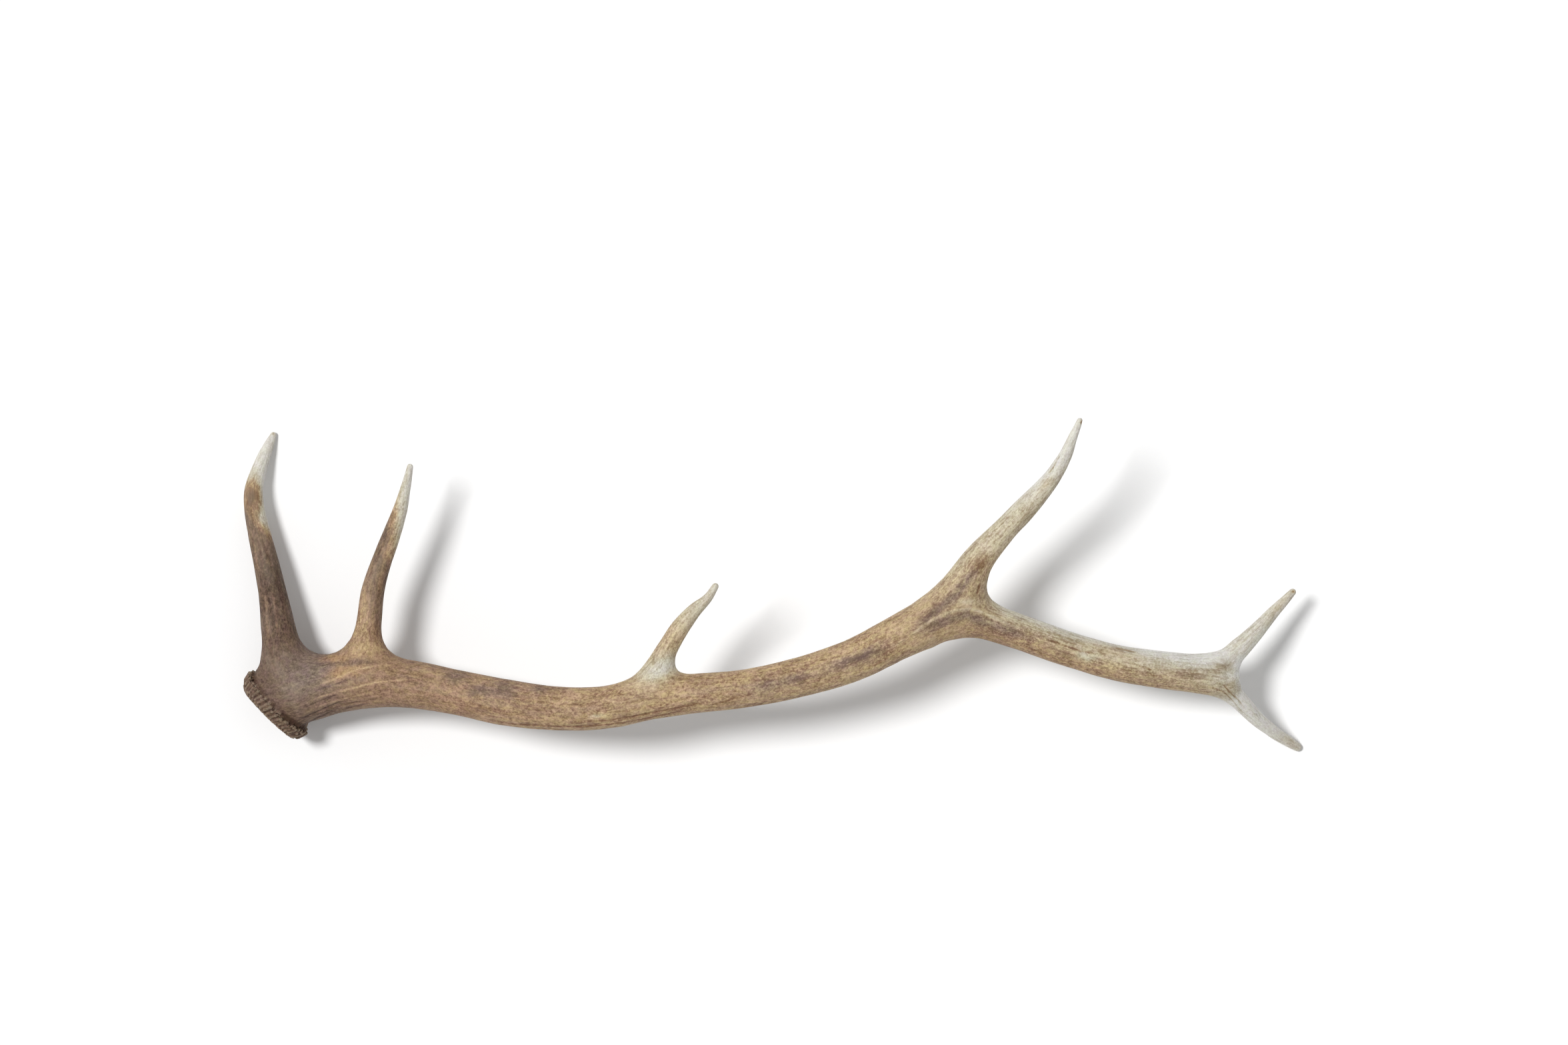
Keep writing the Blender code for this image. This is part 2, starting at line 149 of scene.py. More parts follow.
# %% Stations of the branches
# Stations from root to tip: x, y, z and radius, in millimetres.
BEAM = [
    (-477.3, -105.9, 41.3, 28.4), (-459.4, -104.7, 50, 30.4), (-430.1, -97.1, 62, 29.4), (-390.3, -94.6, 75, 25.6),
    (-351.3, -97.1, 86, 23.4), (-307.7, -104.9, 97, 21.9), (-262, -114, 107, 22.6), (-215.1, -119.5, 116, 21.4),
    (-169.3, -119.4, 124, 20.8), (-117.1, -110.5, 131, 19.7), (-73.4, -104.7, 136, 19.2), (-27.3, -100.1, 139, 18.5),
    (24.7, -89.3, 140, 19.3), (76.8, -72.8, 139, 20.5), (119.2, -51.4, 136, 21.2), (139.8, -41.5, 134.2, 18.3),
    (158.4, -33.7, 132, 17.5), (192.9, -32.3, 128, 18.4), (231.4, -43.2, 122, 17.4), (282.4, -61.3, 113, 17.1),
    (333.8, -75.9, 102, 17.5), (386.9, -84, 91, 18.4), (422.8, -87.5, 82, 18.2), (438.7, -90.2, 78, 14.5),
]
TINE_STATIONS = {
    "brow": [
        (-467.4, -94.1, 52, 14.5), (-478, -74.3, 49, 19), (-484.2, -45.2, 42, 17.3), (-489.3, -15.6, 36, 14.5),
        (-496.2, 17.3, 31, 12.7), (-504.2, 50.2, 27, 11.2), (-509.4, 75.7, 24, 10.1), (-509.7, 94.8, 20, 9.1),
        (-504, 115, 14, 7.4), (-498.1, 131.3, 8.3, 5.9), (-491.9, 146.3, 3.5, 3.3),
    ],
    "bez": [
        (-400.4, -84.2, 76, 11.2), (-397.6, -61, 80, 13.3), (-393.5, -33.5, 84, 12.3), (-390.3, -7.3, 87, 11.5),
        (-382.8, 18.6, 89, 10.2), (-372, 47.6, 90, 8.9), (-363.8, 70.6, 92, 7.4), (-357.4, 95.2, 96, 5),
        (-353.1, 114.5, 101.3, 3.2),
    ],
    "trez": [
        (-146.3, -115.3, 128, 3), (-125.9, -99.8, 131, 7.9), (-112.2, -78.2, 135, 11.1), (-99.5, -55.9, 139, 9.8),
        (-89.6, -40.4, 143, 9), (-77.1, -25.4, 148, 7.2), (-63.9, -12.8, 153, 4.7), (-56.3, -1.4, 157, 3.4),
    ],
    "royal": [
        (149.5, -37.1, 134.7, 11.4), (166.4, -20.9, 136, 15.6), (185.2, 4.5, 139, 17.8), (201.1, 28.4, 143, 14.9),
        (222.4, 52.3, 149, 12), (243.6, 74.9, 156, 11.3), (265.6, 99.8, 163, 8.8), (280, 122.5, 169, 6.7),
        (288, 142.2, 175, 4.7), (294.7, 158.4, 180, 2.9),
    ],
    "upper_terminal": [
        (415, -85.2, 84, 9.1), (439.6, -74, 79, 10.9), (453.7, -62.5, 74, 10.4), (468.9, -47.7, 67, 8.4),
        (482.9, -32.5, 60, 6.7), (496.1, -18.9, 54, 5.2), (507.2, -7.6, 50, 3.6),
    ],
    "lower_terminal": [
        (413.3, -89.2, 84, 8.2), (437.3, -99.2, 74, 11.2), (455.4, -114.3, 61, 9.2), (470.9, -130, 46, 7.7),
        (483, -139.7, 34.5, 6.7), (493.7, -147.5, 24, 6.1), (505.8, -154.9, 12.5, 5.4), (514.6, -160.3, 3.9, 4),
    ],
}
print("stations:", len(BEAM) + sum(len(stations) for stations in TINE_STATIONS.values()))

# %% [markdown]
# A smooth line runs through the stations (a Catmull-Rom curve), read at eight points from
# each to the next. Each point also carries a side vector. It starts straight up and never
# twists, so an angle round the branch means the same all along it: zero is the outer side,
# which lies on top here.

# %% Branch lines
STEPS = 8


def unit(vectors):
    return vectors / np.maximum(np.linalg.norm(vectors, axis=-1, keepdims=True), 1e-12)


def dot(a, b):
    return np.einsum("ij,ij->i", a, b)


def along_stations(stations, place):
    """The point (x, y, z, radius, in metres) at a place along a branch's stations."""
    knots = np.array(stations, float) * MM
    knots = np.vstack([2 * knots[0] - knots[1], knots, 2 * knots[-1] - knots[-2]])
    span = min(int(place), len(stations) - 2)
    a, b, c, d = knots[span:span + 4]
    t = place - span
    bend = (2 * a - 5 * b + 4 * c - d) * t**2 + (3 * b - a - 3 * c + d) * t**3
    return 0.5 * (2 * b + (c - a) * t + bend)


class Branch:
    """A centre line with a radius at each point, and a side vector that never twists."""

    def __init__(self, stations):
        places = np.arange((len(stations) - 1) * STEPS + 1) / STEPS
        points = np.array([along_stations(stations, place) for place in places])
        self.line, self.radius = points[:, :3], points[:, 3]
        steps = np.linalg.norm(np.diff(self.line, axis=0), axis=1)
        self.along = np.concatenate([[0.0], np.cumsum(steps)])
        self.length = self.along[-1]
        self.heading = unit(np.gradient(self.line, axis=0))
        side = np.array((0.0, 0.0, 1.0))
        self.side = np.empty_like(self.line)
        for i, heading in enumerate(self.heading):
            side = side - heading * side.dot(heading)
            side /= np.linalg.norm(side)
            self.side[i] = side


beam = Branch(BEAM)
print("the beam is", round(beam.length / MM), "mm long along its curve")

# %% [markdown]
# For any point in space, this finds the nearest place on a branch: how far it is to the
# branch's skin, the way out of that skin, and where it lies in the branch pulled straight. That
# is the length along it and two distances across it, which also give the angle round it.
# Numpy does it for all points at once, a block at a time to spare memory.

# %% Nearest place on a branch
CHUNK = 20000


def near(branch, points):
    """Distance to a branch's skin, the way out, and the place in the straightened branch."""
    line = branch.line
    closest = np.empty(len(points), int)
    for start in range(0, len(points), CHUNK):
        block = points[start:start + CHUNK]
        closest[start:start + CHUNK] = ((line**2).sum(1) - 2 * block @ line.T).argmin(1)
    last = len(line) - 2
    reach = np.full(len(points), np.inf)
    first = np.zeros(len(points), int)
    share = np.zeros(len(points))
    for begin in (np.clip(closest - 1, 0, last), np.clip(closest, 0, last)):
        step = line[begin + 1] - line[begin]
        at = np.clip(dot(points - line[begin], step) / dot(step, step), 0, 1)
        gap = np.linalg.norm(points - line[begin] - at[:, None] * step, axis=1)
        better = gap < reach
        reach = np.where(better, gap, reach)
        first = np.where(better, begin, first)
        share = np.where(better, at, share)

    def mix(values):
        weight = share.reshape((-1,) + (1,) * (values.ndim - 1))
        return values[first] * (1 - weight) + values[first + 1] * weight

    away = points - mix(line)
    heading, side = mix(branch.heading), mix(branch.side)
    along = mix(branch.along) + dot(away, heading)
    place = np.stack([along, dot(away, side), dot(away, np.cross(heading, side))], axis=1)
    return reach - mix(branch.radius), unit(away), place


def around(place):
    return np.arctan2(place[:, 2], place[:, 1])


# %% [markdown]
# At a fork the bone flows from one branch into the other without an edge. Two distances
# are blended where they are nearly equal, which leaves a fillet as wide as the blend. This also
# says how much of a point each branch owns, so that grain and stain flow over with the skin.

# %% Tines that flow into the beam
Tine = namedtuple("Tine", "name branch width")
FILLETS = (31, 33, 26, 35, 14, 13)  # in millimetres
TINES = [
    Tine(name, Branch(stations), fillet * MM)
    for (name, stations), fillet in zip(TINE_STATIONS.items(), FILLETS)
]


def flow(first, second, width):
    """Two skins joined with a fillet: the distance, the way out, and the first one's share."""
    share = np.clip(0.5 + 0.5 * (second[0] - first[0]) / width, 0, 1)
    gap = first[0] * share + second[0] * (1 - share) - width * share * (1 - share)
    out = first[1] * share[:, None] + second[1] * (1 - share[:, None])
    return gap, out, share


for tine in TINES:
    print(tine.name, "tine:", round(tine.branch.length / MM), "mm")

# %% [markdown]
# ## The burr
#
# At its foot an antler ends in the burr, an oval disc that is knobbly with bone pearls. On its
# face is the seal, the rough dome that sat on the stag's skull. Pleats run from the pearls a
# little way up the beam, which flares out to meet them. The disc, the seal and the flare are
# domes: squeezed balls on the burr's axis. Each pearl and pleat is a short rounded rod on the
# disc's rim, with sizes that vary by a seeded chance, so the burr comes out the same every
# time. The disc and its pearls are cut off flat at the face.

# %% Burr
BURR_CENTRE = np.array((-489.9, -120.3, 37.5)) * MM
BURR_HEADING = math.radians(222.5)
BURR_DIP = math.radians(9)
Dome = namedtuple("Dome", "shift out_by long high front back")
DISC = Dome(0.2 * MM, -5 * MM, 39.6 * MM, 32.2 * MM, 20 * MM, 4.5 * MM)
SEAL = Dome(0, 2.2 * MM, 20 * MM, 16 * MM, 8.2 * MM, 8.2 * MM)
FLARE = Dome(-1.2 * MM, -10 * MM, 34.2 * MM, 30 * MM, 8 * MM, 14 * MM)


def facing(heading, dip):
    return np.array((math.cos(heading) * math.cos(dip), math.sin(heading) * math.cos(dip), -math.sin(dip)))


def burr_axes():
    """Along the burr's long side, up its face, and out of its face."""
    out = facing(BURR_HEADING, BURR_DIP)
    long = unit(np.cross((0.0, 0.0, 1.0), out))
    return np.array((long, np.cross(out, long), out))


def from_burr(points):
    return np.linalg.norm(points - BURR_CENTRE, axis=1)


def near_dome(dome, points):
    """Distance to an oval dome on the burr's axis, which can bulge more to its front than to its back."""
    axes = burr_axes()
    local = (points - BURR_CENTRE) @ axes.T - (dome.shift, 0, dome.out_by)
    halves = np.tile((dome.long, dome.high, dome.back), (len(points), 1))
    halves[local[:, 2] > 0, 2] = dome.front
    reach = np.linalg.norm(local / halves, axis=1)
    slope = np.linalg.norm(local / halves**2, axis=1)
    gap = reach * (reach - 1) / np.maximum(slope, 1e-9)
    return gap, unit(local / halves**2) @ axes


print("the burr is", 2 * DISC.long / MM, "mm long and", 2 * DISC.high / MM, "mm high")

# %% Pearls and pleats
PEARL_ROWS = [(-2.2, 5), (6, 2.4)]  # middle and half length along the burr's axis, in millimetres
PEARL_COUNT = 54
PEARL_RADIUS = 2.35 * MM
LEAN = 0.038  # radians
MORE_LEAN = 0.55  # more by this share at one end of the burr, and less at the other
PLEAT_COUNT = 44
PLEAT_RADIUS = 1.6 * MM
PLEAT_LENGTH = 6 * MM


def rim_size(out_by):
    """The rim's size at a place on the burr's axis, as a share of its full size."""
    return math.sqrt(1 - (max(0, out_by - DISC.out_by) / DISC.front) ** 2)


def burr_point(angle, size, out_by):
    """A point at an angle round the burr, at a share of the disc's size and along its axis."""
    local = (DISC.shift + math.cos(angle) * size * DISC.long, math.sin(angle) * size * DISC.high, out_by)
    return BURR_CENTRE + np.array(local) @ burr_axes()


def lean_at(angle):
    return LEAN * (1 + MORE_LEAN * math.cos(angle))


def burr_rods():
    """The two ends and the radius of each pearl and pleat."""
    chance = np.random.default_rng(11)
    rods = []
    for row, (middle, half) in enumerate(PEARL_ROWS):
        for i in range(PEARL_COUNT):
            angle = math.tau * (i + row / 2 + chance.uniform(-0.28, 0.28)) / PEARL_COUNT
            lean = lean_at(angle) * chance.uniform(0.6, 1.4)
            proud = chance.uniform(-0.02, 0.012)
            back = (middle - half * chance.uniform(0.6, 1.1)) * MM
            front = (middle + half * chance.uniform(0.6, 1.1)) * MM
            start = burr_point(angle - lean, rim_size(back) + proud, back)
            end = burr_point(angle + lean, rim_size(front) + proud, front)
            rods.append((start, end, PEARL_RADIUS * chance.uniform(0.75, 1.1)))
    for i in range(PLEAT_COUNT):
        angle = math.tau * (i + chance.uniform(-0.3, 0.3)) / PLEAT_COUNT
        lean = lean_at(angle) * chance.uniform(1, 2)
        back = DISC.out_by - PLEAT_LENGTH * chance.uniform(0.6, 1.7)
        start = burr_point(angle - lean, chance.uniform(0.82, 0.87), back)
        end = burr_point(angle + lean, chance.uniform(0.96, 1.0), DISC.out_by + 2 * MM)
        rods.append((start, end, PLEAT_RADIUS * chance.uniform(0.7, 1.3)))
    return rods


RODS = burr_rods()
print("the burr has", PEARL_COUNT * len(PEARL_ROWS), "pearls and", PLEAT_COUNT, "pleats")

# %% Distance to the burr
FACE = facing(heading=math.radians(225.3), dip=math.radians(4))
FACE_OUT = 8.3 * MM
FACE_FLOW = 0.9 * MM
ROD_FLOW = 0.3 * MM


def near_rods(points):
    gap = np.full(len(points), np.inf)
    out = np.zeros_like(points)
    for start, end, radius in RODS:
        step = end - start
        share = np.clip((points - start) @ step / step.dot(step), 0, 1)
        away = points - start - share[:, None] * step
        reach = np.linalg.norm(away, axis=1) - radius
        nearer = reach < gap
        gap = np.where(nearer, reach, gap)
        out = np.where(nearer[:, None], unit(away), out)
    return gap, out


def near_burr(points, knobbly=True):
    """Distance to the disc, with or without its pearls and pleats, all cut off at its face."""
    gap, out = near_dome(DISC, points)
    if knobbly:
        gap, out, _ = flow((gap, out), near_rods(points), ROD_FLOW)
    beyond = (points - BURR_CENTRE) @ FACE - FACE_OUT
    inside, out, _ = flow((-gap, out), (-beyond, np.tile(FACE, (len(points), 1))), FACE_FLOW)
    return -inside, out


print("the burr's centre lies", round(-float(near_burr(BURR_CENTRE[None])[0][0]) / MM, 1), "mm deep in it")

# %% [markdown]
# ## One skin
#
# All of this together makes one skin, as a distance from any point. The mesh starts as the
# eight solids, swollen by half a millimetre so that they close over their partings, and fused
# with a voxel Remesh. Then every vertex is drawn onto the true skin, in a few steps of its
# own distance. A Boolean union would keep the solids' large facets.

# %% The whole skin as a distance
FLARE_FLOW = 10 * MM
BURR_FLOW = 2 * MM
BURR_REACH = 90 * MM
SEAL_FLOW = 4 * MM


def skin(points, knobbly=False):
    """Distance to the antler's skin and the way out of it, with or without the burr's knobs."""
    joined = near(beam, points)[:2]
    for tine in TINES:
        joined = flow(joined, near(tine.branch, points)[:2], tine.width)[:2]
    gap, out = joined
    close = from_burr(points) < BURR_REACH
    foot = flow((gap[close], out[close]), near_dome(FLARE, points[close]), FLARE_FLOW)
    foot = flow(foot, near_burr(points[close], knobbly), BURR_FLOW)
    gap[close], out[close], _ = flow(foot, near_dome(SEAL, points[close]), SEAL_FLOW)
    return gap, out


# %% Fuse the solids and draw them onto the skin
SWELL = 0.5 * MM
WELD = 0.01 * MM
VOXEL = 1.05 * MM
DRAWS = 7
LEAST_SLOPE = 0.3  # keeps a draw short in a crotch, where two skins face each other


def read(items, field, width, kind=float):
    """One field of all vertices or edges, as a row of numbers for each."""
    values = np.empty(len(items) * width, kind)
    items.foreach_get(field, values)
    return values.reshape(-1, width)


def modified(mesh, kind, group=None, **settings):
    """A mesh after one modifier, with an optional vertex group of weights."""
    holder = placed("holder", mesh)
    modifier = holder.modifiers.new("step", kind)
    for name, value in settings.items():
        setattr(modifier, name, value)
    if group is not None:
        weights = holder.vertex_groups.new(name="weights")
        for level in np.unique(group):
            weights.add(np.flatnonzero(group == level).tolist(), float(level), "REPLACE")
        modifier.vertex_group = weights.name
    bpy.context.view_layer.update()
    made = bpy.data.meshes.new_from_object(holder.evaluated_get(bpy.context.evaluated_depsgraph_get()))
    bpy.data.objects.remove(holder)
    return made


def fused_solids():
    """The frame's nodes in one mesh, each a little swollen, with a ball on each tip."""
    joined = bmesh.new()
    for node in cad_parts.values():
        solid = bmesh.new()
        solid.from_mesh(node.data)
        bmesh.ops.remove_doubles(solid, verts=solid.verts, dist=WELD)
        solid.normal_update()
        for vert in solid.verts:
            vert.co += vert.normal * SWELL
        swollen = bpy.data.meshes.new("swollen")
        solid.to_mesh(swollen)
        solid.free()
        joined.from_mesh(swollen)
        bpy.data.meshes.remove(swollen)
    for tine in TINES:
        tip = Matrix.Translation(tine.branch.line[-1])
        bmesh.ops.create_icosphere(joined, subdivisions=3, radius=tine.branch.radius[-1] + SWELL, matrix=tip)
    mesh = bpy.data.meshes.new("fused")
    joined.to_mesh(mesh)
    joined.free()
    return mesh


mesh = modified(fused_solids(), "REMESH", mode="VOXEL", voxel_size=VOXEL)
points = read(mesh.vertices, "co", 3)
for _ in range(DRAWS):
    gap, out = skin(points)
    points = points - out * (gap / np.maximum(dot(out, out), LEAST_SLOPE))[:, None]
out = unit(out)
print("the smooth skin has", len(points), "vertices; furthest off:", round(np.abs(gap).max() / MM, 3), "mm")

# %% [markdown]
# The pearls and pleats come last, because a draw would slide every point onto the side of a
# pearl and leave none in the valleys. So the points lie on the bare disc first, and each then
# goes straight out until it leaves the pearl that covers it.

# %% Raise the pearls and pleats
KNOB_REACH = 58 * MM
RISES = 10

knobbly = from_burr(points) < KNOB_REACH
risen, way = points[knobbly], out[knobbly]
for _ in range(RISES):
    gap, turned_out = skin(risen, knobbly=True)
    risen = risen + way * np.maximum(-gap, 0)[:, None]
print("the pearls rise up to", round(np.linalg.norm(risen - points[knobbly], axis=1).max() / MM, 1), "mm")
points[knobbly], out[knobbly] = risen, unit(turned_out)

# %% [markdown]
# ## Grain coordinates
#
# Bone has grain: furrows, flecks and streaks all run along the branch. So every point gets its
# place in the straightened branch. A noise stretched along the first coordinate makes streaks
# that follow the branch and close round it without a seam. Each point knows its
# place on the beam and on its nearest tine, and how much of it the tine owns.

# %% Grain coordinates
TINE_APART = 0.5  # metres; keeps the noise of one tine apart from the next one's
OWN_BAND = 26 * MM  # where two tines meet, each fades out over this width

Grain = namedtuple("Grain", "beam_place tine_place tine_share owner")


def grain_of(points):
    """Where each point lies on the beam and on its nearest tine."""
    gap, _, beam_place = near(beam, points)
    joined = (gap, np.zeros_like(points))
    beam_share = np.ones(len(points))
    best = np.full(len(points), np.inf)
    second = np.full(len(points), np.inf)
    owner = np.zeros(len(points), int)
    tine_place = np.zeros_like(points)
    for i, tine in enumerate(TINES):
        gap, _, place = near(tine.branch, points)
        *joined, share = flow(joined, (gap, joined[1]), tine.width)
        beam_share = beam_share * share
        nearer = gap < best
        second = np.where(nearer, best, np.minimum(second, gap))
        best = np.where(nearer, gap, best)
        owner = np.where(nearer, i, owner)
        tine_place = np.where(nearer[:, None], place, tine_place)
    own = np.clip((second - best) / OWN_BAND, 0, 1)
    return Grain(beam_place, tine_place, (1 - beam_share) * own, owner)


def blended(grain, on_beam, on_tine):
    """A value that flows from the beam's into the tines'."""
    return on_beam * (1 - grain.tine_share) + on_tine * grain.tine_share


def tine_noise_place(grain):
    return grain.tine_place + np.outer(grain.owner * TINE_APART, (1, 0, 0))


grain = grain_of(points)
print("share of the skin that the tines own:", round(grain.tine_share.mean(), 2))

# %% [markdown]
# ## Furrows and fine grooves
#
# Blood vessels in the velvet leave long furrows in the bone. The main ones are placed one by
# one, each for a part of the length, as on the solids. Between them run fine grooves that
# split and join again. A stretched noise has such lines where it crosses zero, so the groove
# is cut there.

# %% Main furrows
FURROW_DEPTH = 0.5 * MM
FURROW_HALF_WIDTH = 1.5 * MM
BEAM_FURROWS = 46
TINE_FURROWS = 9
TINE_FURROW_SHARE = 0.45  # how deep those on a tine are, beside the beam's
TURN_ON = math.tau * 0.382  # from one furrow to the next round the branch, so that none line up
WANDER, WANDER_LENGTH = 0.2, 55 * MM  # radians to either side, and over what length
TIP_POLISH = 35 * MM


def furrows(branch, count, seed, place):
    """Depth from 0 to 1 of the furrows that run along a branch, each for a part of its length."""
    chance = np.random.default_rng(seed)
    along, turned = place[:, 0], around(place)
    girth = branch.radius.mean()
    depth = np.zeros(len(along))
    for i in range(count):
        middle = (i + 0.5) / count * branch.length
        half = chance.uniform(45, 110) * MM
        lie = TURN_ON * i + chance.uniform(-0.2, 0.2)
        lie = lie + WANDER * np.sin(along / WANDER_LENGTH + i)
        across = (turned - lie + math.pi) % math.tau - math.pi
        run = np.clip(2 - 2 * np.abs(along - middle) / half, 0, 1)
        groove = np.exp(-((across * girth / FURROW_HALF_WIDTH) ** 2))
        depth = np.maximum(depth, run * groove * chance.uniform(0.6, 1.0))
    return depth * np.clip((branch.length - along) / TIP_POLISH, 0, 1)


def all_furrows(grain):
    depth = furrows(beam, BEAM_FURROWS, 1, grain.beam_place)
    on_tine = np.zeros(len(depth))
    for i, tine in enumerate(TINES):
        mine = grain.owner == i
        on_tine[mine] = furrows(tine.branch, TINE_FURROWS, i + 2, grain.tine_place[mine])
    return blended(grain, depth, on_tine * TINE_FURROW_SHARE)


main_furrows = all_furrows(grain)
print("share of the skin in a main furrow:", round((main_furrows > 0.3).mean(), 2))

# %% Fine grooves from stretched noise
Groove = namedtuple("Groove", "length width edge depth seed")
GROOVES = [
    Groove(length=60 * MM, width=8 * MM, edge=0.16, depth=0.22 * MM, seed=3),
    Groove(length=22 * MM, width=5 * MM, edge=0.22, depth=0.14 * MM, seed=8),
]
SEED_APART = np.array((13.7, 5.3, 9.1))  # how far apart two seeds look into the noise


def noise_at(places):
    """Blender's own noise, from -1 to 1, at many places."""
    return np.fromiter((noise.noise(place) for place in places.tolist()), float, len(places))


def stretched_noise(grain, length, width, seed):
    """Noise drawn out along the grain, flowing from the beam's grain into the tines'."""
    cell = np.array((length, width, width))
    shift = seed * SEED_APART
    places = grain.beam_place, tine_noise_place(grain)
    return blended(grain, *(noise_at(place / cell + shift) for place in places))


sunk = main_furrows * FURROW_DEPTH
for groove in GROOVES:
    level = stretched_noise(grain, groove.length, groove.width, groove.seed)
    sunk = sunk + np.exp(-((level / groove.edge) ** 2)) * groove.depth
print("deepest furrow:", round(sunk.max() / MM, 2), "mm")

# %% [markdown]
# ## Ridges, grooves and bands with a place of their own
#
# Some features are as good as a fingerprint: three low ridges fan out from the burr onto the
# beam, a worn crest curves through the royal fork between two dark bands, and a few deep
# furrows stand out near the crown. Each is a stroke over the outer side: half its width, how
# much it lifts or sinks the bone, how much barer, darker and more purple it is, and a line of
# points in plan. Lengths are in millimetres.

# %% Strokes
Stroke = namedtuple("Stroke", "half lift wear dark mauve points ochre", defaults=(0,))
STROKES = [Stroke(*row[:5], row[5:]) for row in [
    # Three ridges from the burr onto the beam.
    (0.9, 0.35, 0.16, -0.25, 0, (-455, -102), (-441, -97), (-428, -92), (-404, -82), (-380, -78), (-367, -79)),
    (0.9, 0.4, 0.16, -0.25, 0, (-464, -119), (-441, -109), (-414, -102), (-387, -95), (-356, -92), (-337, -93)),
    (0.9, 0.4, 0.08, -0.2, 0, (-468, -130), (-457, -126), (-444, -119), (-419, -111), (-389, -105)),
    # The grooves beside them.
    (0.6, -0.35, -0.06, 0.3, 0.3, (-450, -105), (-436, -100), (-418, -94), (-399, -86)),
    (0.6, -0.35, -0.06, 0.3, 0.1, (-458, -120), (-441, -113), (-425, -107), (-408, -103)),
    (0.6, -0.45, -0.08, 0.4, 0.2, (-465, -133), (-452, -127), (-441, -122), (-425, -115), (-412, -112)),
    (0.6, -0.4, -0.08, 0.4, 0, (-460, -137), (-449, -132), (-432, -124), (-410, -119), (-385, -114)),
    (0.6, -0.35, -0.06, 0.3, 0, (-455, -130), (-440, -125), (-422, -118), (-400, -113), (-372, -109)),
    # Long furrows close to the beam's lower edge.
    (0.7, -0.45, -0.05, 0.5, 0, (-284, -130), (-251, -135), (-210, -137), (-181, -137), (-143, -133),
     (-104, -125), (-68, -118)),
    (0.7, -0.4, -0.05, 0.5, 0, (-195, -132), (-160, -131), (-125, -125), (-85, -117), (-60, -112)),
    (0.7, -0.4, -0.05, 0.5, 0, (-60, -116), (-39, -110), (-20, -105)),
    # Worn streaks up the left side of the brow tine.
    (1.6, 0, 0.08, -0.2, -0.3, (-493, -60), (-494, -40), (-496, -20), (-498, -4)),
    (1.2, 0, 0.08, -0.2, -0.3, (-484, -50), (-487, -25), (-491, -4)),
    (1.2, 0, 0.08, -0.2, -0.3, (-504, 8), (-506, 26), (-510, 44)),
    # The crest in the royal fork and the dark bands above and below it.
    (1.5, 0.4, 0.1, -0.35, 0, (104, -66), (126, -53), (149, -36), (159, -31), (167, -27), (177, -24),
     (190, -23), (201, -26), (214, -32), (232, -40), (245, -43)),
    (4.8, -0.2, -0.04, 0.28, 0.8, (132, -45), (152, -29), (167, -17), (180, -4), (190, 8), (203, 20)),
    (5.6, -0.2, 0, 0.15, 0.8, (132, -52), (154, -40), (170, -32), (186, -29), (199, -34), (219, -41),
     (238, -48), (258, -57)),
    # A short dark furrow at the foot of the royal tine, and two near its tip.
    (0.8, -0.5, -0.1, 0.7, 0, (199, 2), (198, -4), (196, -9)),
    (0.8, -0.4, -0.2, 0.7, 0, (276, 126), (270, 114), (264, 106)),
    # Thin furrows along the upper beam.
    (0.8, -0.5, -0.1, 0.7, 0.1, (258, -51), (277, -57), (297, -64), (312, -67)),
    (0.8, -0.5, -0.1, 0.7, 0, (330, -61), (340, -63), (352, -66)),
    (0.8, -0.5, -0.1, 0.7, 0, (352, -78), (368, -83)),
    # Two furrows from the crown into the lower terminal tine, and the line in the crotch.
    (0.65, -0.45, -0.18, 0.6, 0, (428, -94), (438, -98), (444.4, -105.5), (452, -112), (458.5, -118.7),
     (464, -124.5)),
    (0.6, -0.25, -0.12, 0.4, 0, (420, -98), (438, -104.5), (446.3, -112.3), (455.4, -122.7), (467, -131.7),
     (478, -139.5)),
    (0.8, -0.3, -0.1, 0.4, -0.5, (450, -84), (451, -91), (454, -97)),
]]
TAPERS = 5  # each end of a stroke fades over a fifth of its length


def stroke_weight(stroke, plan):
    """From 0 to 1: how much of a stroke lies over each point seen in plan."""
    line = np.array(stroke.points, float) * MM
    lengths = np.linalg.norm(np.diff(line, axis=0), axis=1)
    starts = np.concatenate([[0.0], np.cumsum(lengths)])
    reach = np.full(len(plan), np.inf)
    run = np.zeros(len(plan))
    for start, end, begun, length in zip(line, line[1:], starts, lengths):
        share = np.clip((plan - start) @ (end - start) / length**2, 0, 1)
        away = np.linalg.norm(plan - start - share[:, None] * (end - start), axis=1)
        run = np.where(away < reach, (begun + share * length) / starts[-1], run)
        reach = np.minimum(reach, away)
    taper = np.clip(np.minimum(run, 1 - run) * TAPERS, 0, 1)
    return taper * np.exp(-((reach / (stroke.half * MM)) ** 2))


print(len(STROKES), "strokes")
